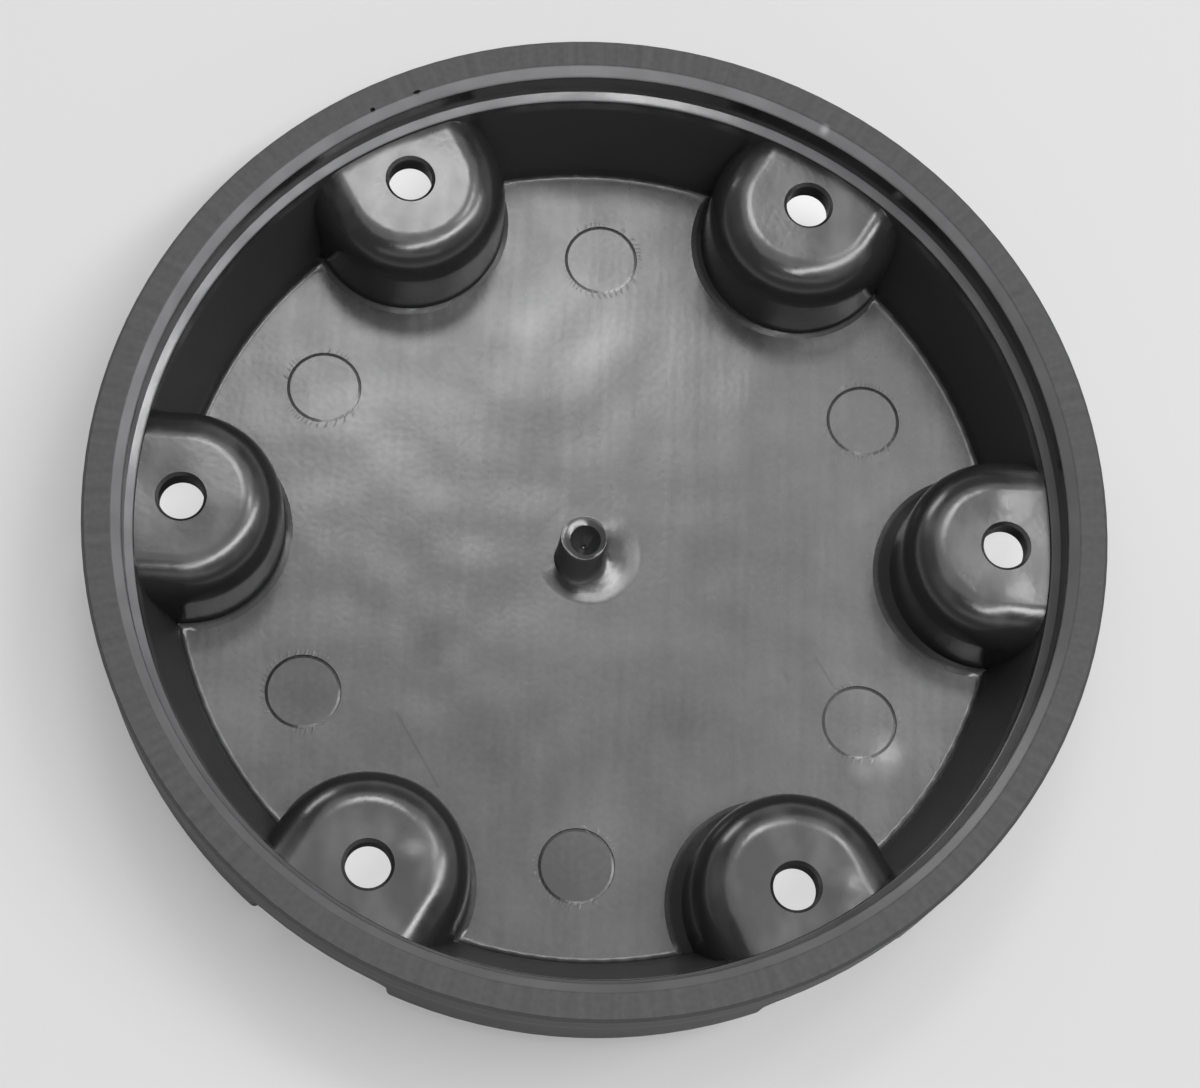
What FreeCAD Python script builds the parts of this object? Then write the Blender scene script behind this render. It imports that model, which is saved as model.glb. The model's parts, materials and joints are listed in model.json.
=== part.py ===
import FreeCAD, Part
import math
import os

from FreeCAD import Vector

# Wheel center cap: one moulding. Millimetres, +Z from the show face towards the wheel,
# origin on the show face at the middle of the cap.

# Overall
OUTER_D = 124.0            # rim, outside diameter
INSIDE_DEPTH = 19.5        # rim land down to the inside floor
FLOOR_T = 3.0              # thickness of the front wall
SIDE_LEAN_DEG = 0.6        # the outer side narrows towards the show face
FRONT_ROUND = 9.0          # large round between the side and the show face
EDGE_BREAK = 0.4           # chamfer on the outer edge of the land

# Stepped rim, from the outside inwards
LAND_W = 3.3               # flat land that meets the wheel
LEAD_W = 1.4               # sloping lead-in edge, width
LEAD_H = 1.0               # sloping lead-in edge, height
SEAT_DEPTH = 5.6           # land down to the seat ledge
SEAT_W = 1.0               # width of the seat ledge

# Inside wall and floor
WALL_RUN = 4.3             # how far the wall leans in between ledge and floor
FLOOR_FILLET = 0.8         # fillet where the wall meets the floor

# Screw turrets and the flutes inside them
SCREWS = 6
SCREW_EDGE = 11.3          # screw axis to the outside of the rim
SCREW_HOLE_D = 5.5
HOLE_BREAK = 0.4           # chamfer at the upper end of each screw hole
TURRET_DEPTH = 6.0         # land down to the turret tops
TURRET_R = 12.1            # nose radius at the top, before rounding
TURRET_DRAFT_DEG = 1.3     # the sides widen towards the floor
TURRET_ROUND = 5.0         # round along the top edge
TURRET_WALL = 3.0          # turret side wall
TURRET_TOP_T = 3.1         # turret top wall, under the screw head
ROOT_W = 2.0               # sloping root ring on the floor, width
ROOT_H = 1.0               # sloping root ring on the floor, height
FLUTE_ROUND = 2.0          # inside round at the top of each flute
MOUTH_ROUND = 0.6          # round along the mouth of each flute

# Marks left by moulding
PIN_MARK_D = 9.5           # ejector-pin marks, one between each two turrets
PIN_MARK_INSET = 11.8      # mark centre to the edge of the floor
PIN_MARK_DEPTH = 0.2
GATE_H = 4.6               # gate stub in the middle of the floor
GATE_TOP_R = 2.3
GATE_NECK_R = 3.7          # where the cone runs into its flared foot
GATE_FOOT_R = 6.8
GATE_FOOT_H = 1.5
GATE_LIP = 0.5             # wall around the torn pit in the stub's top
GATE_PIT = 1.4             # depth of that pit

HEIGHT = INSIDE_DEPTH + FLOOR_T
OUTER_R = OUTER_D / 2
LAND_R = OUTER_R - LAND_W
SEAT_R = LAND_R - LEAD_W
LEDGE_R = SEAT_R - SEAT_W
LEDGE_Z = HEIGHT - SEAT_DEPTH
FLOOR_R = LEDGE_R - WALL_RUN
SCREW_R = OUTER_R - SCREW_EDGE
TURRET_TOP_Z = HEIGHT - TURRET_DEPTH
FLUTE_TOP_Z = TURRET_TOP_Z - TURRET_TOP_T
PIN_MARK_R = FLOOR_R - PIN_MARK_INSET
PITCH_DEG = 360.0 / SCREWS
DRAFT = math.tan(math.radians(TURRET_DRAFT_DEG))
OVERCUT = 1.0              # how far a cutting solid passes the face that it opens
TOUCH = 1e-4               # points closer than this count as the same
MIDDLE = Vector(0, 0, 0)
AXIS = Vector(0, 0, 1)


def line(start, end):
    """Straight edge in the section plane; points are (radius, height)."""
    return Part.LineSegment(Vector(start[0], 0, start[1]), Vector(end[0], 0, end[1])).toShape()


def arc(start, centre, end):
    """Short arc in the section plane, from start to end about centre."""
    radius = math.hypot(start[0] - centre[0], start[1] - centre[1])
    half = ((start[0] + end[0]) / 2 - centre[0], (start[1] + end[1]) / 2 - centre[1])
    stretch = radius / math.hypot(*half)
    middle = (centre[0] + half[0] * stretch, centre[1] + half[1] * stretch)
    return Part.Arc(*[Vector(p[0], 0, p[1]) for p in (start, middle, end)]).toShape()


def turned(edges):
    """Solid of revolution of a closed section."""
    return Part.Face(Part.Wire(edges)).revolve(MIDDLE, AXIS, 360)


def around(shape, offset_deg=0.0):
    """One copy of the shape at each screw, all turned by an offset."""
    copies = []
    for index in range(SCREWS):
        copy = shape.copy()
        copy.rotate(MIDDLE, AXIS, offset_deg + index * PITCH_DEG)
        copies.append(copy)
    return copies


def outer_blank():
    """Outside of the cap as a filled body: show face, front round, side and land."""
    lean = math.radians(SIDE_LEAN_DEG)
    flat_r = OUTER_R - (FRONT_ROUND + (HEIGHT - FRONT_ROUND) * math.sin(lean)) / math.cos(lean)
    side_low = (flat_r + FRONT_ROUND * math.cos(lean), FRONT_ROUND * (1 - math.sin(lean)))
    side_high = (OUTER_R - EDGE_BREAK * math.tan(lean), HEIGHT - EDGE_BREAK)
    land_edge = (OUTER_R - EDGE_BREAK, HEIGHT)
    return turned([
        line((0, 0), (flat_r, 0)),
        arc((flat_r, 0), (flat_r, FRONT_ROUND), side_low),
        line(side_low, side_high),
        line(side_high, land_edge),
        line(land_edge, (0, HEIGHT)),
        line((0, HEIGHT), (0, 0)),
    ])


def inside_space():
    """What the open side leaves empty, before the turrets: lead-in, seat, leaning wall, floor."""
    slope = math.atan2(LEDGE_Z - FLOOR_T, WALL_RUN)
    setback = FLOOR_FILLET / math.tan((math.pi - slope) / 2)
    wall_foot = (FLOOR_R + setback * math.cos(slope), FLOOR_T + setback * math.sin(slope))
    floor_edge = (FLOOR_R - setback, FLOOR_T)
    fillet_centre = (FLOOR_R - setback, FLOOR_T + FLOOR_FILLET)
    above = HEIGHT + OVERCUT
    return turned([
        line((0, above), (LAND_R, above)),
        line((LAND_R, above), (LAND_R, HEIGHT)),
        line((LAND_R, HEIGHT), (SEAT_R, HEIGHT - LEAD_H)),
        line((SEAT_R, HEIGHT - LEAD_H), (SEAT_R, LEDGE_Z)),
        line((SEAT_R, LEDGE_Z), (LEDGE_R, LEDGE_Z)),
        line((LEDGE_R, LEDGE_Z), wall_foot),
        arc(wall_foot, fillet_centre, floor_edge),
        line(floor_edge, (0, FLOOR_T)),
        line((0, FLOOR_T), (0, above)),
    ])


def u_block(low_r, low_z, high_r, high_z, reach):
    """Drafted U-shaped block: a round nose about the screw, with straight sides out to reach."""
    foot = Vector(SCREW_R, 0, low_z)
    nose = Part.makeCone(low_r, high_r, high_z - low_z, foot, AXIS, 180)
    nose.rotate(foot, AXIS, 90)
    corners = [(-low_r, low_z), (low_r, low_z), (high_r, high_z), (-high_r, high_z), (-low_r, low_z)]
    section = Part.makePolygon([Vector(SCREW_R, y, z) for y, z in corners])
    sides = Part.Face(section).extrude(Vector(reach - SCREW_R, 0, 0))
    return nose.fuse(sides).removeSplitter()


def rounded_top(block, top_z, reach, radius):
    """Round the U's upper edge, leaving the end that is buried in the wall."""
    edges = []
    for edge in block.Edges:
        ends = [vertex.Point for vertex in edge.Vertexes]
        on_top = all(abs(p.z - top_z) < TOUCH for p in ends)
        at_end = all(abs(p.x - reach) < TOUCH for p in ends)
        if on_top and not at_end:
            edges.append(edge)
    return block.makeFillet(radius, edges)


def turret():
    """One screw turret with its root ring, trimmed so that the seat runs past it."""
    reach = LEDGE_R + OVERCUT
    floor_r = TURRET_R + (TURRET_TOP_Z - FLOOR_T) * DRAFT
    body = u_block(floor_r, FLOOR_T, TURRET_R, TURRET_TOP_Z, reach)
    body = rounded_top(body, TURRET_TOP_Z, reach, min(TURRET_ROUND, TURRET_R / 2))
    root = u_block(floor_r + ROOT_W, FLOOR_T, floor_r - ROOT_W, FLOOR_T + 2 * ROOT_H, reach)
    return body.fuse(root).common(Part.makeCylinder(LEDGE_R, HEIGHT))


def flute():
    """The hollow under one turret, open at the show face and through the side."""
    top_r = TURRET_R - TURRET_WALL
    reach = OUTER_R + OVERCUT
    mouth_r = top_r + (FLUTE_TOP_Z + OVERCUT) * DRAFT
    block = u_block(mouth_r, -OVERCUT, top_r, FLUTE_TOP_Z, reach)
    return rounded_top(block, FLUTE_TOP_Z, reach, min(FLUTE_ROUND, top_r / 2))


def screw_hole():
    """Through hole in a turret top, with its upper edge broken."""
    place = Vector(SCREW_R, 0, FLUTE_TOP_Z - OVERCUT)
    radius = SCREW_HOLE_D / 2
    hole = Part.makeCylinder(radius, TURRET_TOP_T + 2 * OVERCUT, place)
    edge_break = Part.makeCone(radius, radius + HOLE_BREAK, HOLE_BREAK,
                               Vector(SCREW_R, 0, TURRET_TOP_Z - HOLE_BREAK))
    return hole.fuse(edge_break)


def gate_stub():
    """Torn-off gate: flared foot, short cone and a pit in its top."""
    top_z = FLOOR_T + GATE_H
    foot_z = FLOOR_T + GATE_FOOT_H
    flare_run = GATE_FOOT_R - GATE_NECK_R
    flare_r = (flare_run ** 2 + GATE_FOOT_H ** 2) / (2 * GATE_FOOT_H)
    return turned([
        line((0, FLOOR_T - OVERCUT), (GATE_FOOT_R, FLOOR_T - OVERCUT)),
        line((GATE_FOOT_R, FLOOR_T - OVERCUT), (GATE_FOOT_R, FLOOR_T)),
        arc((GATE_FOOT_R, FLOOR_T), (GATE_FOOT_R, FLOOR_T + flare_r), (GATE_NECK_R, foot_z)),
        line((GATE_NECK_R, foot_z), (GATE_TOP_R, top_z)),
        line((GATE_TOP_R, top_z), (GATE_TOP_R - GATE_LIP, top_z)),
        line((GATE_TOP_R - GATE_LIP, top_z), (0, top_z - GATE_PIT)),
        line((0, top_z - GATE_PIT), (0, FLOOR_T - OVERCUT)),
    ])


def pin_mark():
    """Shallow disc that an ejector pin leaves in the floor."""
    place = Vector(PIN_MARK_R, 0, FLOOR_T - PIN_MARK_DEPTH)
    return Part.makeCylinder(PIN_MARK_D / 2, PIN_MARK_DEPTH + OVERCUT, place)


def fluted_blank():
    """The blank with its flutes cut and the edges of their mouths rounded."""
    blank = outer_blank()
    flutes = around(flute())
    fluted = blank.cut(flutes)
    skins = [blank.Shells[0], Part.Compound([one.Shells[0] for one in flutes])]
    mouth_edges = []
    for edge in fluted.Edges:
        half_way = (edge.FirstParameter + edge.LastParameter) / 2
        middle = Part.Vertex(edge.valueAt(half_way))
        if all(middle.distToShape(skin)[0] < TOUCH for skin in skins):
            mouth_edges.append(edge)
    return fluted.makeFillet(MOUTH_ROUND, mouth_edges)


def center_cap():
    """The whole moulding: the fluted blank less the inside space and the screw holes."""
    core = inside_space().cut(around(turret()) + [gate_stub()])
    cap = fluted_blank().cut([core] + around(screw_hole()))
    return cap.cut(around(pin_mark(), PITCH_DEG / 2)).removeSplitter()


os.makedirs("parts", exist_ok=True)
cap = center_cap()
print("solids", len(cap.Solids), "valid", cap.isValid(), "volume", round(cap.Volume), "faces", len(cap.Faces))
print("box", cap.BoundBox)
cap.Solids[0].exportStep("parts/wheel_center_cap.step")
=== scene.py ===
# %% [markdown]
# # A black moulded wheel center cap
# The cap lies on its front face and shows its inside: a stepped rim, a leaning wall, a flat floor and
# hollow screw turrets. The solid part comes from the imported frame, so its sizes are fixed before this
# script starts. This lesson gives that solid the small forms and the finish that a photograph of a real
# moulding shows.

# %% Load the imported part
import json
import math

import bpy
from mathutils import Matrix, Vector

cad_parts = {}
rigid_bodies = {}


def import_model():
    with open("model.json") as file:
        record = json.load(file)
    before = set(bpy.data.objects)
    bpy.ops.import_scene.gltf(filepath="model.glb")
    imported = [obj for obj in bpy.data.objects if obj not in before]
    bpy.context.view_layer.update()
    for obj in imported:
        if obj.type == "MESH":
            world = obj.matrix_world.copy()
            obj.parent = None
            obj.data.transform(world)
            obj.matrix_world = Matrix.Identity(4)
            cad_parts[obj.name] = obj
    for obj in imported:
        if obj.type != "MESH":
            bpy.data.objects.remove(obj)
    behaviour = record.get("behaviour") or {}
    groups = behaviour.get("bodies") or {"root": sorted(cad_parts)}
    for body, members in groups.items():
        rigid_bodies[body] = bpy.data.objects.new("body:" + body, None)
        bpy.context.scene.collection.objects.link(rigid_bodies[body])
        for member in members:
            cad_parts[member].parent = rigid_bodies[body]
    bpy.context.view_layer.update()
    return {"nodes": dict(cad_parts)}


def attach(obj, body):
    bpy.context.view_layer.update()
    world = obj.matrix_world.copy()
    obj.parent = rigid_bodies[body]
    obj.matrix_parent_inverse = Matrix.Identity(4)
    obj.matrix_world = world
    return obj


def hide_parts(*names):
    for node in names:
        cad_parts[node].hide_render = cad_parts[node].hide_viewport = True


MM = 0.001
NODE = "wheel_center_cap"
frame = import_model()

# %% [markdown]
# ## The skin of the cap
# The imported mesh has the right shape, but its triangles are loose, so nothing can be smoothed across them.
# The cap could be modelled again from a cylinder, with the risk that it no longer agrees with the solid. A
# copy is safer: it is merged into one closed skin, and the details are then modelled into that skin.

# %% Copy and merge the skin
MERGE = 0.003 * MM
NEARLY_FLAT = math.radians(3)
NEARLY_SQUARE = math.radians(50)


def only(obj):
    """Select one object and make it active."""
    bpy.ops.object.select_all(action="DESELECT")
    obj.select_set(True)
    bpy.context.view_layer.objects.active = obj


def open_edges(obj):
    """How many edges of the mesh don't join exactly two faces."""
    uses = {}
    for polygon in obj.data.polygons:
        for key in polygon.edge_keys:
            uses[key] = uses.get(key, 0) + 1
    return sum(count != 2 for count in uses.values())


only(frame["nodes"][NODE])
bpy.ops.object.duplicate()
cap = bpy.context.object
cap.name = "cap_moulding"
bpy.ops.object.parent_clear(type="CLEAR_KEEP_TRANSFORM")
for key in list(cap.keys()):
    del cap[key]
bpy.ops.mesh.customdata_custom_splitnormals_clear()
bpy.ops.object.mode_set(mode="EDIT")
bpy.ops.mesh.select_all(action="SELECT")
bpy.ops.mesh.remove_doubles(threshold=MERGE)
bpy.ops.mesh.dissolve_degenerate(threshold=MERGE)
bpy.ops.mesh.tris_convert_to_quads(face_threshold=NEARLY_FLAT, shape_threshold=NEARLY_SQUARE)
bpy.ops.object.mode_set(mode="OBJECT")
print("skin:", len(cap.data.polygons), "faces,", open_edges(cap), "open edges")

# %% [markdown]
# ## Small rounds on the rim
# No moulded edge is a perfect line: each has a small round that catches light, which is why the rim shows
# as bright and dark bands. Rounds this small would only burden the solid, so they are made here: the three
# inner edges of the rim are picked by their radius and height and bevelled. The ledge that carries the
# wheel's edge isn't level either. Its outer line is lifted first, so that it slopes down towards the
# inside.

# %% Lift the ledge
HEIGHT = 22.5 * MM
LAND_INNER_R = 58.7 * MM
SEAT_R = 57.3 * MM
SEAT_TOP_Z = 21.5 * MM
LEDGE_R = 56.3 * MM
LEDGE_Z = 16.9 * MM
LEDGE_RISE = 0.5 * MM
NEAR = 0.02 * MM


def pick(obj, mode, passes):
    """Select the vertices, edges or faces whose points all pass a test, and leave the object in edit mode."""
    bpy.ops.object.mode_set(mode="EDIT")
    bpy.ops.mesh.select_mode(type=mode)
    bpy.ops.mesh.select_all(action="DESELECT")
    bpy.ops.object.mode_set(mode="OBJECT")
    good = [passes(vertex.co) for vertex in obj.data.vertices]
    items = {"VERT": obj.data.vertices, "EDGE": obj.data.edges, "FACE": obj.data.polygons}[mode]
    for item in items:
        item.select = good[item.index] if mode == "VERT" else all(good[index] for index in item.vertices)
    count = sum(item.select for item in items)
    bpy.ops.object.mode_set(mode="EDIT")
    return count


def on_ring(radius, level):
    """A test for points on one circle about the cap's axis."""
    return lambda point: abs(point.xy.length - radius) < NEAR and abs(point.z - level) < NEAR


count = pick(cap, "VERT", on_ring(SEAT_R, LEDGE_Z))
bpy.ops.transform.translate(value=(0, 0, LEDGE_RISE))
bpy.ops.object.mode_set(mode="OBJECT")
print("ledge lifted at", count, "points")

# %% Round the rim's inner edges
RIM_ROUNDS = [(LAND_INNER_R, HEIGHT, 0.12 * MM), (SEAT_R, SEAT_TOP_Z, 0.3 * MM), (LEDGE_R, LEDGE_Z, 0.2 * MM)]

for radius, level, width in RIM_ROUNDS:
    count = pick(cap, "EDGE", on_ring(radius, level))
    bpy.ops.mesh.bevel(offset=width, segments=3, affect="EDGES", clamp_overlap=False)
    bpy.ops.object.mode_set(mode="OBJECT")
    print("rounded", count, "edges at radius", round(radius / MM, 1), "mm;", open_edges(cap), "open edges")

# %% [markdown]
# ## Root rings
# A sloping ring runs round the root of each turret, where the mould's inserts meet its floor. In the solid
# all six are equally wide. On the real cap most are narrow, and some are wider on their left, as if their
# inserts sat a little off centre. New rings could be modelled, but the slopes are already in the skin, so
# their points are moved towards the turret, and each ring keeps its own share of the width.

# %% Trim the root rings
FLOOR_Z = 3.0 * MM
SCREW_R = 50.7 * MM
RING_OUT = 14.406 * MM
RING_IN = 12.384 * MM
RING_SLOPE = 0.5
ON_RING = 0.06 * MM
# For the turret at each angle: the share of the width that is kept, and how much more is kept on the left.
RING_SHARE = {0: (0.45, 0.55), 60: (0.3, 0.3), 120: (0.32, 0), 180: (0.42, 0), 240: (0.45, 0),
              300: (0.45, 0.55)}


def on_axis_circle(radius, degrees):
    """A point on a circle about the cap's axis."""
    angle = math.radians(degrees)
    return Vector((radius * math.cos(angle), radius * math.sin(angle)))


moved = 0
for degrees, (share, left) in RING_SHARE.items():
    middle = on_axis_circle(SCREW_R, degrees)
    for vertex in cap.data.vertices:
        side = vertex.co.xy - middle
        slope_z = FLOOR_Z + (RING_OUT - side.length) * RING_SLOPE
        if RING_IN - ON_RING < side.length < RING_OUT + ON_RING and abs(vertex.co.z - slope_z) < ON_RING:
            keep = share + left * max(0.0, -side.normalized().x)
            place = middle + side.normalized() * (RING_IN + (side.length - RING_IN) * keep)
            vertex.co = (place.x, place.y, FLOOR_Z + (vertex.co.z - FLOOR_Z) * keep)
            moved += 1
cap.data.update()
print("root rings trimmed at", moved, "points;", open_edges(cap), "open edges")

# %% [markdown]
# ## Ejector-pin marks
# Pins push the moulding out of its mould and leave a round mark in the floor. On the real cap each mark is
# a thin dark ring around a disc that is nearly level with the floor, and the discs differ a little in
# height. A groove could be cut with a ring-shaped tool. The solid already has shallow discs, so an inset is
# simpler: the border of each disc stays low as the groove, and its middle is raised again.

# %% Turn the discs into ringed marks
MARK_Z = 2.8 * MM
MARK_R = 4.75 * MM
MARK_CIRCLE_R = 40.2 * MM
FIRST_MARK = 30
MARK_STEP = 60
GROOVE = 0.4 * MM
GROOVE_RISE = 0.03 * MM
MARK_RISE = [0.16 * MM, 0.13 * MM, 0.17 * MM, 0.14 * MM, 0.11 * MM, 0.13 * MM]


def on_disc(middle):
    """A test for points on the shallow disc of one mark."""
    return lambda point: abs(point.z - MARK_Z) < NEAR and (point.xy - middle).length < MARK_R + NEAR


for index, rise in enumerate(MARK_RISE):
    count = pick(cap, "FACE", on_disc(on_axis_circle(MARK_CIRCLE_R, FIRST_MARK + MARK_STEP * index)))
    bpy.ops.transform.translate(value=(0, 0, GROOVE_RISE))
    bpy.ops.mesh.inset(thickness=GROOVE, depth=0)
    bpy.ops.transform.translate(value=(0, 0, rise))
    bpy.ops.object.mode_set(mode="OBJECT")
    print("mark", index, "from", count, "faces, raised", round(rise / MM, 2), "mm")

# %% [markdown]
# ## The torn gate
# Plastic enters the mould at the middle of the floor, and the stub that is left there was twisted off, so
# it has a soft foot and a torn crater. A turned cone looks too clean. The stub's faces are deleted, the
# open circle is extruded ring by ring towards the crater, and the crater's lip is then pulled out of true.

# %% Rebuild the gate stub
GATE_FOOT_R = 6.8 * MM
# Radius and height of each ring in millimetres: up the foot and the stub, over the lip and down the crater.
STUB_RINGS = [(6.5, 3.03), (6.1, 3.11), (5.6, 3.24), (5.0, 3.42), (4.4, 3.61), (3.8, 3.82), (3.4, 3.99),
              (3.1, 4.21), (3.0, 4.7), (2.97, 5.4), (2.95, 6.1), (2.93, 6.7), (2.92, 6.98), (2.87, 7.1),
              (2.78, 7.11), (2.5, 7.015), (2.2, 6.915), (1.95, 6.83), (1.87, 6.7), (1.8, 6.3), (1.55, 5.6),
              (1.15, 4.8), (0.7, 4.2), (0.3, 3.6), (0.08, 3.3)]

count = pick(cap, "FACE", lambda point: point.xy.length < GATE_FOOT_R + NEAR and point.z > FLOOR_Z - NEAR)
bpy.ops.mesh.delete(type="FACE")
edges = pick(cap, "EDGE", on_ring(GATE_FOOT_R, FLOOR_Z))
ring_r, ring_z = GATE_FOOT_R, FLOOR_Z
for radius, level in STUB_RINGS:
    scale = radius * MM / ring_r
    bpy.ops.mesh.extrude_region_move(TRANSFORM_OT_translate={"value": (0, 0, level * MM - ring_z)})
    bpy.ops.transform.resize(value=(scale, scale, 1), center_override=(0, 0, 0))
    ring_r, ring_z = radius * MM, level * MM
bpy.ops.mesh.merge(type="CENTER")
bpy.ops.object.mode_set(mode="OBJECT")
print("gate stub:", count, "faces replaced, rings of", edges, "edges;", open_edges(cap), "open edges")

# %% [markdown]
# ## The lean of the gate
# The real stub leans, its soft foot runs out to one side only, and the lip of its crater is wavy.
# Proportional editing could pull it about, but only by eye. Here each point is moved by a rule: the foot
# follows the base of the stub, the stub leans from its base to its lip, and the crater follows the lip.

# %% Rules for the tear
BROAD_SIDE = math.radians(-48)
BROAD_HALF = 0.8
BROAD_FALL = 1.5
NARROW_FOOT = 0.08
# Rise, number of waves round the lip and start of each wave.
TEARS = [(0.1 * MM, 2, 0.5), (0.05 * MM, 3, 2.2), (0.02 * MM, 7, 0.0)]


def torn(angle):
    """How far the torn lip stands up or down at an angle."""
    return sum(rise * math.sin(waves * angle + start) for rise, waves, start in TEARS)


def foot(angle):
    """The share of the soft foot at an angle: all of it on the broad side, and little on the other."""
    aside = abs((angle - BROAD_SIDE + math.pi) % (2 * math.pi) - math.pi)
    fall = min(max(aside - BROAD_HALF, 0.0) * BROAD_FALL, math.pi / 2)
    return NARROW_FOOT + (1 - NARROW_FOOT) * math.cos(fall)


print("foot on its broad side:", foot(BROAD_SIDE), "and opposite:", round(foot(BROAD_SIDE + math.pi), 2))

# %% Tear the crater
BASE_AT = Vector((-1.35 * MM, -0.8 * MM))
LIP_AT = Vector((-0.95 * MM, 0.75 * MM))
PIT_AT = LIP_AT + Vector((0.2 * MM, -0.22 * MM))
PIT_RUN = 0.6 * MM
BASE_R, LIP_R = 3.11 * MM, 2.88 * MM
BASE_Z, LIP_Z = 4.21 * MM, 7.11 * MM

for vertex in cap.data.vertices:
    point, radius = vertex.co, vertex.co.xy.length
    if radius > GATE_FOOT_R - NEAR or point.z < FLOOR_Z + NEAR:
        continue
    angle = math.atan2(point.y, point.x)
    share = (point.z - BASE_Z) / (LIP_Z - BASE_Z)
    if radius > BASE_R:
        shift = BASE_AT * (GATE_FOOT_R - radius) / (GATE_FOOT_R - BASE_R)
        lift = (point.z - FLOOR_Z) * (foot(angle) - 1)
    elif radius > LIP_R:
        shift = BASE_AT.lerp(LIP_AT, share)
        lift = (1 - share) ** 2 * (BASE_Z - FLOOR_Z) * (foot(angle) - 1) + torn(angle) * share
    else:
        shift = LIP_AT.lerp(PIT_AT, min(1.0, (LIP_R - radius) / PIT_RUN))
        lift = torn(angle) * max(0.0, share)
    vertex.co = point + Vector((*shift, lift))
cap.data.update()
print("torn crater stands off the axis by", round(LIP_AT.length / MM, 2), "mm")

# %% [markdown]
# ## Nicks in the rim
# The land of the rim has two small nicks where the cap was knocked. They could be painted as dark spots,
# but a nick removes plastic and shows from every side, so each one is a small faceted chip that a Boolean
# modifier takes away from the skin.

# %% Cut the nicks
# Radius in millimetres, angle in degrees, and the half width across and along the rim in millimetres.
NICKS = [(58.75, 121.3, 0.35, 0.4), (58.7, 115.4, 0.3, 0.65)]
NICK_DEEP = 0.6

bpy.ops.object.select_all(action="DESELECT")
chips = []
for radius, degrees, across, along in NICKS:
    place = on_axis_circle(radius * MM, degrees)
    bpy.ops.mesh.primitive_ico_sphere_add(subdivisions=1, radius=MM, location=(*place, HEIGHT),
                                          rotation=(0, 0, math.radians(degrees)),
                                          scale=(across, along, NICK_DEEP))
    chips.append(bpy.context.object)
for chip in chips:
    chip.select_set(True)
bpy.ops.object.join()
nick_tool = bpy.context.object
only(cap)
bpy.ops.object.modifier_add(type="BOOLEAN")
cut = cap.modifiers[-1]
cut.operation = "DIFFERENCE"
cut.object = nick_tool
bpy.ops.object.modifier_apply(modifier=cut.name)
bpy.data.objects.remove(nick_tool)
print("nicks cut:", len(NICKS), "leaving", open_edges(cap), "open edges")

# %% [markdown]
# ## Smooth shading
# Rounds should shade smoothly while edges stay crisp. One angle can't do both here, because the slope of a
# root ring meets the floor at a smaller angle than two neighbouring facets of a tight round. So edges where
# a level face ends are marked sharp first, and weighted normals then keep the flat faces flat.

# %% Shade the skin
LEVEL = 0.9999
CRISP = math.cos(math.radians(14))
SMOOTH = math.radians(38)
FLAT_WEIGHT = 80

beside = {}
for polygon in cap.data.polygons:
    for key in polygon.edge_keys:
        beside.setdefault(key, []).append(polygon.normal.copy())
bpy.ops.object.mode_set(mode="EDIT")
bpy.ops.mesh.select_mode(type="EDGE")
bpy.ops.mesh.select_all(action="DESELECT")
bpy.ops.object.mode_set(mode="OBJECT")
for edge in cap.data.edges:
    first, second = beside[edge.key]
    edge.select = max(abs(first.z), abs(second.z)) > LEVEL and first.dot(second) < CRISP
bpy.ops.object.mode_set(mode="EDIT")
bpy.ops.mesh.mark_sharp()
bpy.ops.object.mode_set(mode="OBJECT")
bpy.ops.object.shade_smooth_by_angle(angle=SMOOTH)
bpy.ops.object.modifier_add(type="WEIGHTED_NORMAL")
cap.modifiers[-1].weight = FLAT_WEIGHT
cap.modifiers[-1].keep_sharp = True
bpy.ops.object.modifier_apply(modifier=cap.modifiers[-1].name)
print("crisp edges:", sum(edge.use_edge_sharp for edge in cap.data.edges))
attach(cap, "root")
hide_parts(NODE)

# %% [markdown]
# ## Reckoning with shader sockets
# The finish needs many small sums: how far a point is from a scratch, or how near it is to the rim. Placing
# a Math node by hand for each of them is slow to write and hard to read. This small class wraps a socket,
# so that a sum in Python adds its Math nodes by itself, and one method adds every other kind of node.

# %% Wrap a socket
class Wire:
    """The output of a shader node; sums on it add Math nodes to the same tree."""

    def __init__(self, tree, socket):
        self.tree = tree
        self.socket = socket

    def node(self, kind, inputs, output=0, **settings):
        """Add a node: its settings come first, then the values or links of its sockets."""
        made = self.tree.nodes.new(kind)
        for name, value in settings.items():
            setattr(made, name, value)
        for name, value in inputs.items():
            if isinstance(value, Wire):
                self.tree.links.new(value.socket, made.inputs[name])
            else:
                made.inputs[name].default_value = value
        return Wire(self.tree, made.outputs[output])

    def math(self, operation, first, second=0.0):
        return self.node("ShaderNodeMath", {0: first, 1: second}, operation=operation)

    def __add__(self, other):
        return self.math("ADD", self, other)

    def __sub__(self, other):
        return self.math("SUBTRACT", self, other)

    def __rsub__(self, other):
        return self.math("SUBTRACT", other, self)

    def __mul__(self, other):
        return self.math("MULTIPLY", self, other)

    def __truediv__(self, other):
        return self.math("DIVIDE", self, other)

    def __pow__(self, other):
        return self.math("POWER", self, other)

    __radd__ = __add__
    __rmul__ = __mul__

    def fade(self, start, end):
        """0 up to one value and 1 from the other, with a smooth run between them."""
        inputs = {"Value": self, "From Min": start, "From Max": end}
        return self.node("ShaderNodeMapRange", inputs, interpolation_type="SMOOTHSTEP")


print("wires ready")

# %% [markdown]
# ## Where a point lies on the cap
# Nearly everything on this cap is laid out around its axis. A UV map would have to be unwrapped and would
# tear at its seams, so the finish is worked out from Object coordinates instead: millimetres, the distance
# from the axis, and the angle round it.

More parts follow.
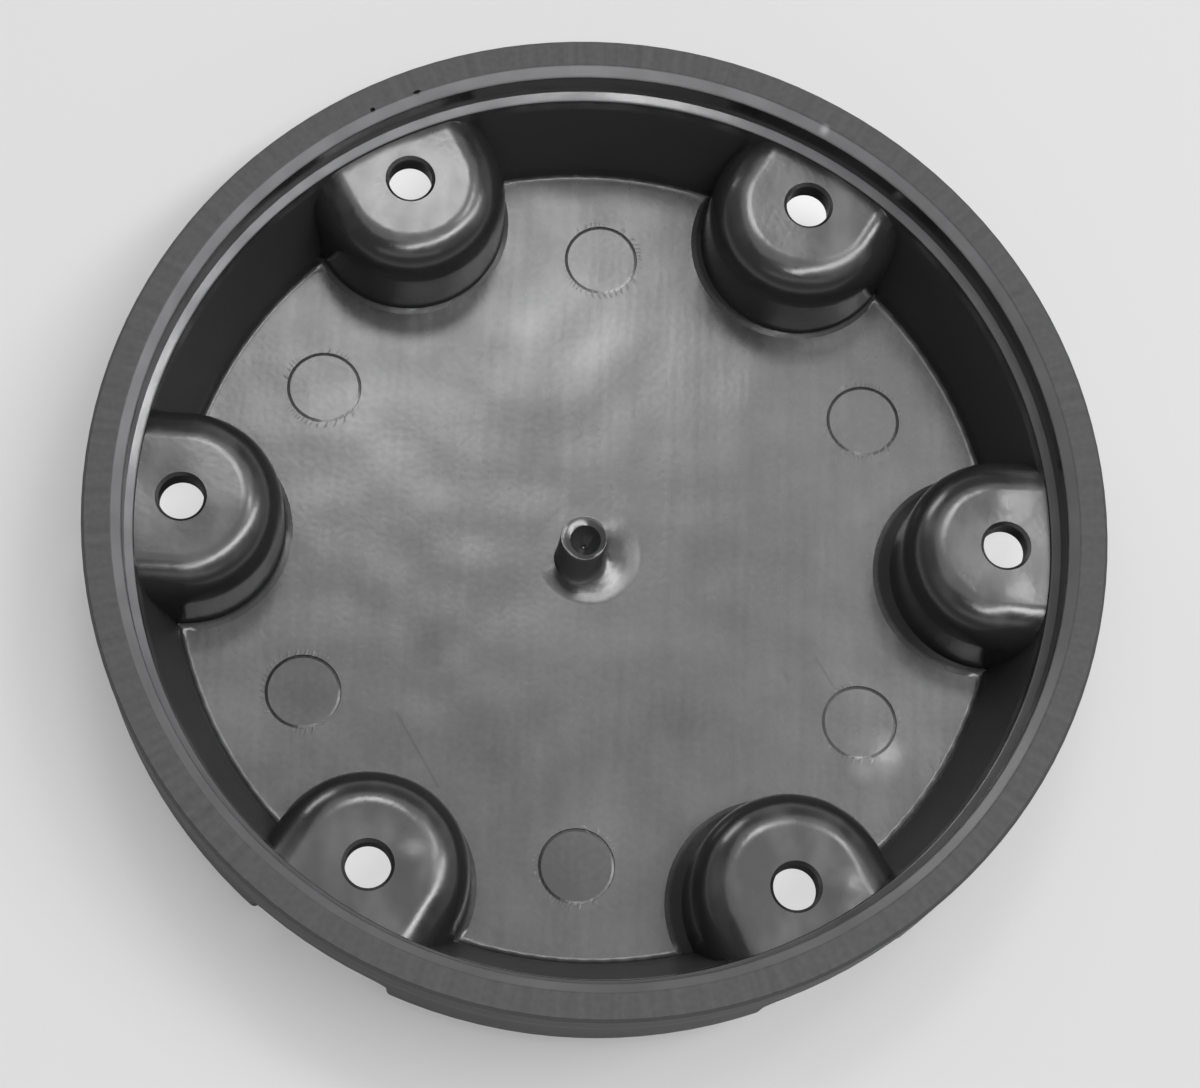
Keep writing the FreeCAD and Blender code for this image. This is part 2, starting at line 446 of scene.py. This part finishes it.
# %% Coordinates of the plastic
plastic = bpy.data.materials.new("satin black plastic")
plastic.use_nodes = True
tree = plastic.node_tree
shader = tree.nodes["Principled BSDF"]
metres = Wire(tree, tree.nodes.new("ShaderNodeTexCoord").outputs["Object"])
spot = metres.node("ShaderNodeVectorMath", {0: metres, "Scale": 1 / MM}, operation="SCALE")
flat = spot.node("ShaderNodeVectorMath", {0: spot, 1: (1, 1, 0)}, operation="MULTIPLY")
x, y, z = [spot.node("ShaderNodeSeparateXYZ", {0: spot}, output=axis) for axis in range(3)]
from_axis = flat.node("ShaderNodeVectorMath", {0: flat}, output=1, operation="LENGTH")
turn = spot.math("ARCTAN2", y, x)
print("coordinates need", len(tree.nodes), "nodes")

# %% [markdown]
# ## Masks for the parts of the cap
# Floor, land, slope, ledge and walls came from different faces of the mould and differ in gloss. Each could
# get its own material, with a hard line between them. A mask fades from one to the next instead: it is 1 on
# its part of the cap and 0 elsewhere. The turrets come six times, at every 60 degrees, so one folded angle
# gives the place next to the nearest of them without six copies of a sum.

# %% Masks
SIXTH = math.pi / 3


def nearest_of_six(across, along, first, circle):
    """Where a point lies from the nearest of six places on a circle: outwards and sideways."""
    sixths = (across.math("ARCTAN2", along, across) - first) / SIXTH
    angle = (sixths - across.math("ROUND", sixths)) * SIXTH
    reach = (across * across + along * along) ** 0.5
    return reach * across.math("COSINE", angle) - circle, reach * across.math("SINE", angle)


# Each pair of numbers is a height or a distance in millimetres, from where the mask is 0 to where it is 1.
on_floor = z.fade(2.0, 2.4) * z.fade(3.4, 3.15) * from_axis.fade(53.0, 52.4)
on_land = z.fade(22.3, 22.45)
on_slope = z.fade(21.3, 21.5) * from_axis.fade(58.8, 58.6) * (1 - on_land)
on_ledge = z.fade(16.7, 16.85) * z.fade(17.6, 17.4) * from_axis.fade(56.2, 56.4)
on_top = z.fade(15.2, 15.8) * z.fade(16.75, 16.6) * from_axis.fade(57, 56)
on_stub = from_axis.fade(5.2, 4.6) * z.fade(3.5, 4.0)
outside = from_axis.fade(60.2, 60.6) * (1 - on_land)
beside_hole = nearest_of_six(x, y, 0.0, SCREW_R / MM)[1]
between = spot.math("ABSOLUTE", beside_hole).fade(10.5, 13)
on_wall = z.fade(4, 5) * z.fade(16.6, 15.8) * from_axis.fade(51.5, 53) * between * (1 - outside)
print("with the masks:", len(tree.nodes), "nodes")

# %% [markdown]
# ## Mottle, patches and painted light on the floor
# The floor of the real cap isn't evenly black: it is paler in clouds, with darker patches between, and a
# mould that was polished in one direction left faint streaks. Noise alone would put the clouds anywhere. So
# weak noise gives the small changes, and the large pale and dark patches and the scratches are placed one by
# one. A few of the patches are painted light: a painted highlight beside one ejector mark and painted shade
# beside one turret.

# %% Noise
HAZE_LEVEL, BROAD_SHARE, CLOSE_SHARE = 0.55, 0.9, 0.7
NOISE_MIDDLE = 0.5


def cloud(size, detail=2.0, stretch=(1, 1, 1), shift=0.0):
    """Soft noise from 0 to 1 whose blotches are about this many millimetres wide."""
    inputs = {0: spot, 1: stretch, 2: (shift, shift, shift)}
    place = spot.node("ShaderNodeVectorMath", inputs, operation="MULTIPLY_ADD")
    return spot.node("ShaderNodeTexNoise", {"Vector": place, "Scale": 1 / size, "Detail": detail})


broad_cloud, close_cloud, grain = cloud(24, 1), cloud(6, 2, shift=31), cloud(0.7, 0, shift=7)
streaks = cloud(1.0, 0, stretch=(1, 0.05, 1), shift=3)
mottle_and_painted_light = HAZE_LEVEL + (broad_cloud - NOISE_MIDDLE) * BROAD_SHARE + (close_cloud - NOISE_MIDDLE) * CLOSE_SHARE
print("with the noise:", len(tree.nodes), "nodes")

# %% Patches
# Centre, size and amount of each patch; places and sizes are in millimetres. The three small pale patches
# just outside the ejector mark at 330 degrees are a painted highlight, laid over the swell that the bump
# gives there. The dark patch at (-18, 29.5), beside the turret at 120 degrees, is painted shade.
PALE_PATCHES_AND_HIGHLIGHT = [((0, 30), 14, 0.9), ((14, 25), 12, 0.4), ((-8.5, 29.5), 5, 0.8), ((-29, 16), 11, 0.6),
        ((-34.5, 7.6), 8, 0.4), ((35.3, -26.0), 2.6, 2.0), ((38.1, -24.9), 2.6, 1.5),
        ((39.8, -23.2), 2.4, 0.8), ((46, -16.5), 8, 0.6), ((-43.5, -24), 8, 0.6), ((3, -36), 9, 0.5),
        ((-5, -9), 7, 0.4)]
DARK_PATCHES_AND_SHADE = [((-18, 29.5), 4.5, 0.8), ((-8, 14), 9, 0.6), ((22, -3), 14, 0.4), ((10, -20), 12, 0.5),
         ((26, -14), 9, 0.3), ((-19.4, -13.9), 3.5, 0.9), ((-12, -25), 9, 0.35)]
# Two marks have discs that are darker than the floor. A blot is down to one half at half its size, and the
# disc ends there.
DARK_DISCS = [((0, -40.2), 0.9), ((-34.8, -20.1), 0.5)]
DISC_BLOT = 9.4


def blot(centre, size):
    """1 in the middle of a round patch and 0 at its edge, seen from above."""
    away = flat.node("ShaderNodeVectorMath", {0: flat, 1: (*centre, 0)}, output=1, operation="DISTANCE")
    return away.fade(size, 0)


for centre, size, amount in PALE_PATCHES_AND_HIGHLIGHT:
    mottle_and_painted_light = mottle_and_painted_light + blot(centre, size) * amount
for centre, size, amount in DARK_PATCHES_AND_SHADE:
    mottle_and_painted_light = mottle_and_painted_light - blot(centre, size) * amount
for centre, amount in DARK_DISCS:
    mottle_and_painted_light = mottle_and_painted_light - blot(centre, DISC_BLOT).fade(0.48, 0.52) * amount
print("haze patches:", len(PALE_PATCHES_AND_HIGHLIGHT), "clear patches:", len(DARK_PATCHES_AND_SHADE), "dark discs:", len(DARK_DISCS))

# %% Scratches, streaks and grain
# Start and end in millimetres, and how dark each scratch is.
SCRATCHES = [((-23.3, -21.8), (-17.2, -31.6), 1.2), ((24.7, -13.2), (26, -15.7), 1.2),
             ((29, -11.7), (31.7, -16), 0.9)]
SCRATCH_WIDE = 0.2
SCRATCH_END = 0.7
STREAK_SHARE, GRAIN_SHARE = 0.5, 0.5


def from_middle(middle, unit):
    """How far a point lies from the middle of a scratch, along a direction seen from above."""
    inputs = {0: flat, 1: (*unit, 0)}
    reach = flat.node("ShaderNodeVectorMath", inputs, output=1, operation="DOT_PRODUCT")
    return spot.math("ABSOLUTE", reach - middle.dot(unit))


def scratch(start, end):
    """1 along a thin straight line between two points seen from above, and 0 beside it."""
    run = Vector(end) - Vector(start)
    middle, way = (Vector(end) + Vector(start)) / 2, run.normalized()
    along, across = from_middle(middle, way), from_middle(middle, Vector((-way.y, way.x)))
    return across.fade(SCRATCH_WIDE, 0) * along.fade(run.length / 2, run.length / 2 - SCRATCH_END)


for start, end, amount in SCRATCHES:
    mottle_and_painted_light = mottle_and_painted_light - scratch(start, end) * amount
mottle_and_painted_light = mottle_and_painted_light + (streaks - NOISE_MIDDLE) * STREAK_SHARE + (grain - NOISE_MIDDLE) * GRAIN_SHARE
print("scratches:", len(SCRATCHES))

# %% [markdown]
# ## Tone and gloss of the plastic
# The cap is one black moulding, so one material covers it. The turrets are glossy, the floor and the walls
# are satin, and the land of the rim is matt, with fine rays across it. The slope and the ledge of the rim are
# painted paler, most of all on the far side: a painted sheen that stands in for the light they reflect. That
# may be wear or light. One scuff on the rim is nearly grey. Separate materials would cut all this into zones,
# so every change is added to one tone and one roughness, each through its mask.

# %% Smeared places and painted sheen
SHEEN, SLOPE_FAR, LEDGE_FAR = 0.05, 0.07, 0.12
SHEEN_EVEN, SHEEN_CLOUDS = 0.6, 0.8
SCUFF_AT, SCUFF_SIZE = on_axis_circle(58.2, 63), 0.9
RAYS = 60

smear = cloud(5, 2, stretch=(1, 0.6, 1), shift=43).fade(0.35, 0.8) * on_top
rays = spot.node("ShaderNodeTexNoise", {"W": turn * RAYS, "Scale": 0.8, "Detail": 2.0}, noise_dimensions="1D")
# Painted sheen: the slope and the ledge are painted paler, most of all on the far side, where they reflect
# the lights.
far = (y - x * 0.5).fade(-30, 55)
painted_sheen = on_slope * (SHEEN + far * SLOPE_FAR) + on_ledge * (SHEEN + far * LEDGE_FAR)
painted_sheen = painted_sheen * (SHEEN_EVEN + close_cloud * SHEEN_CLOUDS)
scuff = blot(SCUFF_AT, SCUFF_SIZE) * z.fade(21, 22)
print("with the worn places:", len(tree.nodes), "nodes")

# %% Tone
TONE = {"plastic": 0.014, "mottle_and_painted_light": 0.04, "smear": 0.03, "rays": 0.03, "grain": 0.015, "stub": 0.02,
        "outside": 0.018, "scuff": 0.16, "least": 0.004}
TRACE_OF_BLUE = 1.03

# The tone carries painted light: the sheen on the slope and the ledge, and a painted highlight and painted
# shade among the floor's patches.
tone = TONE["plastic"] + mottle_and_painted_light * on_floor * TONE["mottle_and_painted_light"] + smear * TONE["smear"] + painted_sheen
tone = tone + on_land * (rays * TONE["rays"] + grain * TONE["grain"])
tone = tone + on_stub * TONE["stub"] + outside * TONE["outside"] + scuff * TONE["scuff"]
tone = spot.math("MAXIMUM", tone, TONE["least"])
colour = spot.node("ShaderNodeCombineColor", {0: tone, 1: tone, 2: tone * TRACE_OF_BLUE})
tree.links.new(colour.socket, shader.inputs["Base Color"])
print("with the tone:", len(tree.nodes), "nodes")

# %% Roughness
ROUGH = {"plastic": 0.2, "floor": 0.09, "mottle_and_painted_light": 0.03, "smear": 0.08, "land": 0.5, "rays": 0.1, "slope": 0.15,
         "wall": 0.3, "outside": 0.28}
PLASTIC_IOR = 1.55

rough = ROUGH["plastic"] + on_floor * (ROUGH["floor"] - mottle_and_painted_light * ROUGH["mottle_and_painted_light"]) + smear * ROUGH["smear"]
rough = rough + on_land * (ROUGH["land"] + rays * ROUGH["rays"]) + on_slope * ROUGH["slope"]
rough = rough + on_wall * ROUGH["wall"] + outside * ROUGH["outside"]
tree.links.new(rough.socket, shader.inputs["Roughness"])
shader.inputs["IOR"].default_value = PLASTIC_IOR
print("with the roughness:", len(tree.nodes), "nodes")

# %% [markdown]
# ## Marks that can be felt
# Grain, streaks, the burrs round the ejector marks, the weld lines beside the screw holes and a low swell
# beside one mark are far thinner than a millimetre. As mesh they would need thousands of faces. They go
# into one height in millimetres instead, and a Bump node turns that height into slopes that catch the
# light.

# %% Heights of the small marks
# Centre, size and height of each weld line and of the swell, in millimetres.
WELDS = [((50.2, 6.2), 4.2, 0.12), ((50.6, -6.0), 3.8, 0.1), ((31.0, -44.2), 3.4, 0.17),
         ((-20.0, -43.4), 3.2, 0.15)]
SWELL_AT, SWELL_SIZE, SWELL_RISE = (36.3, -24.6), 4.6, 0.22
GRAIN_RISE, SOFT_RISE, STREAK_RISE = 0.008, 0.16, 0.01

soft = cloud(7, 0, shift=11)
relief = grain * GRAIN_RISE + soft * SOFT_RISE + streaks * on_floor * STREAK_RISE
relief = relief + blot(SWELL_AT, SWELL_SIZE) * on_floor * SWELL_RISE
for centre, size, rise in WELDS:
    relief = relief + blot(centre, size) * on_top * rise
print("weld lines:", len(WELDS))

# %% Burrs round the marks, and the bump
BURRS, BURR_BEND, BURR_RISE = 41, 60, 0.02

mark_out, mark_side = nearest_of_six(x, y, SIXTH / 2, MARK_CIRCLE_R / MM)
mark_r = (mark_out * mark_out + mark_side * mark_side) ** 0.5
mark_turn = spot.math("ARCTAN2", mark_side, mark_out)
burr = spot.math("SINE", mark_turn * BURRS + soft * BURR_BEND).fade(0.55, 0.95)
burr = burr * mark_r.fade(4.3, 4.75) * mark_r.fade(5.6, 5.0) * soft.fade(0.42, 0.56)
relief = relief + burr * on_floor * BURR_RISE
bump = spot.node("ShaderNodeBump", {"Height": relief, "Distance": MM, "Strength": 1.0})
tree.links.new(bump.socket, shader.inputs["Normal"])
cap.data.materials.clear()
cap.data.materials.append(plastic)
print("nodes of the plastic:", len(tree.nodes))

# %% [markdown]
# ## A pale floor
# The cap is shown on a seamless white sheet. The sheet is a plane, lit like any other, so that the shadow
# of the cap stays on it. In the photograph the sheet is nearly white where it shows through the screw
# holes, but in this light it is dark under the cap. A lamp under each hole would also shine on the turrets,
# so six soft spots of the sheet shine by themselves. Their places were fitted to the photograph's view
# through the holes, so they suit that view, and from low angles they show as pale spots beside the cap.

# %% Lay the floor
SHEET_SIZE = 4

bpy.ops.mesh.primitive_plane_add(size=SHEET_SIZE)
sheet = bpy.context.object
sheet.name = "pale_sheet"
print("sheet laid,", SHEET_SIZE, "m wide")

# %% Finish of the paper
PAPER = (0.34, 0.34, 0.34, 1)
# Where the photograph's view through the holes meets the sheet: middle and radius of the six places, in mm.
SPOTS_EAST, SPOTS_NORTH, SPOTS_CIRCLE = 1.1, 5.3, 53.2
SPOT_OUT, SPOT_IN = 7.5, 2.4
SHEET_GLOW, SPOT_GLOW = 0.23, 0.4

paper = bpy.data.materials.new("white paper")
paper.use_nodes = True
paper_tree = paper.node_tree
paper_shader = paper_tree.nodes["Principled BSDF"]
paper_shader.inputs["Base Color"].default_value = PAPER
paper_shader.inputs["Roughness"].default_value = 1.0
paper_shader.inputs["Specular IOR Level"].default_value = 0.0
on_sheet = Wire(paper_tree, paper_tree.nodes.new("ShaderNodeTexCoord").outputs["Object"])
seen = Wire(paper_tree, paper_tree.nodes.new("ShaderNodeLightPath").outputs["Is Camera Ray"])
east, north = [on_sheet.node("ShaderNodeSeparateXYZ", {0: on_sheet}, output=axis) / MM for axis in range(2)]
spot_out, spot_side = nearest_of_six(east - SPOTS_EAST, north - SPOTS_NORTH, 0.0, SPOTS_CIRCLE)
under_hole = ((spot_out * spot_out + spot_side * spot_side) ** 0.5).fade(SPOT_OUT, SPOT_IN)
glow = SHEET_GLOW + under_hole * SPOT_GLOW
glow_colour = on_sheet.node("ShaderNodeCombineColor", {0: glow, 1: glow, 2: glow})
paper_tree.links.new(glow_colour.socket, paper_shader.inputs["Emission Color"])
paper_tree.links.new(seen.socket, paper_shader.inputs["Emission Strength"])
sheet.data.materials.append(paper)
print("nodes of the paper:", len(paper_tree.nodes))

# %% [markdown]
# ## Soft light
# Black plastic shows little but reflections, so the lights are placed where its surfaces mirror them. The
# level floor of the cap mirrors a big soft box overhead. A small lamp behind it and one to its right
# brighten the middle of the floor and the turret tops, and a long strip on the right draws the arcs on the
# turrets' rounds. A window at the far left lights the near slope of the rim, and a weak box in front fills
# the near edges. Bare point lights would make hard dots, so all six are area lights.

# %% Hang the soft boxes
# Direction from the part, distance and size in metres, brightness, and the direction of the long side.
BOXES = {"over": ((0.064, 0.298, 0.952), 1.05, (1.05, 1.05), 1.5, (1, 0, 0)),
         "lamp": ((-0.02, 0.42, 0.907), 1.0, (0.2, 0.17), 14.0, (1, 0, 0)),
         "strip": ((0.36, -0.1, 0.93), 0.9, (1.05, 0.13), 16.0, (0.72, 0.67, -0.24)),
         "far_right": ((0.33, 0.3, 0.9), 0.95, (0.13, 0.13), 14.0, (1, 0, 0)),
         "window": ((-0.56, 0.75, 0.35), 1.1, (0.35, 0.22), 7.0, (0.8, 0.6, 0)),
         "front": ((0.0, -0.7, 0.71), 1.1, (1.1, 0.22), 1.0, (1, 0, 0))}

for name, (way, away, size, brightness, along) in BOXES.items():
    back = Vector(way).normalized()
    up = back.cross(Vector(along)).normalized()
    facing = Matrix((up.cross(back), up, back)).transposed()
    bpy.ops.object.light_add(type="AREA", location=back * away, rotation=facing.to_euler())
    box = bpy.context.object
    box.name = "soft_box_" + name
    box.data.shape = "RECTANGLE"
    box.data.size, box.data.size_y = size
    box.data.energy = brightness * math.pi * size[0] * size[1]
    print(box.name, round(box.data.energy, 2), "W")

# %% [markdown]
# ## The room
# The steep walls of the cap mirror what stands low around it: pale walls that grow darker towards the
# ceiling. They could be built as planes, but a world that depends on the height of a direction does the
# same with no mesh. The camera sees an even white instead, so that no line of a horizon shows behind the
# seamless sheet.

# %% Light the room
CEILING, WALLS = 0.2, 0.8
WALL_TOP, WALL_FULL = 0.42, 0.1
BACKDROP = 0.85

room = bpy.data.worlds.new("pale room")
bpy.context.scene.world = room
room.use_nodes = True
room_tree = room.node_tree
sky = room_tree.nodes["Background"]
direction = Wire(room_tree, room_tree.nodes.new("ShaderNodeTexCoord").outputs["Generated"])
above = direction.node("ShaderNodeSeparateXYZ", {0: direction}, output=2)
looked_at = Wire(room_tree, room_tree.nodes.new("ShaderNodeLightPath").outputs["Is Camera Ray"])
walls = CEILING + above.fade(WALL_TOP, WALL_FULL) * WALLS
strength = walls * (1 - looked_at) + looked_at * BACKDROP
room_tree.links.new(strength.socket, sky.inputs["Strength"])
sky.inputs["Color"].default_value = (1, 1, 1, 1)
bpy.context.scene.view_settings.view_transform = "Standard"
print("room lit, walls at", WALLS + CEILING)

# %% [markdown]
# ## The camera
# The photograph was taken from above and a little in front, with a long lens. A camera could be turned by
# eye until the picture looks right. This one was worked out from the rim and the screw holes of the cap, so
# that the same holes land on the same spots of the picture.

# %% Place the camera
CAMERA_AT = Vector((-0.02243, -0.10913, 0.35560))
RIGHT = Vector((0.99618, 0.03748, 0.07890))
DOWN = Vector((0.05922, -0.95373, -0.29477))
AHEAD = Vector((0.06420, 0.29831, -0.95231))
SENSOR = 36
FOCAL_PIXELS, PICTURE_PIXELS = 2916.8, 1200

bpy.ops.object.camera_add(location=CAMERA_AT)
camera = bpy.context.object
camera.rotation_euler = Matrix((RIGHT, -DOWN, -AHEAD)).transposed().to_euler()
camera.data.sensor_width = SENSOR
camera.data.lens = SENSOR * FOCAL_PIXELS / PICTURE_PIXELS
camera.data.clip_start = 0.01
bpy.context.scene.camera = camera
print("camera", round(camera.location.length, 3), "m from the part's origin")
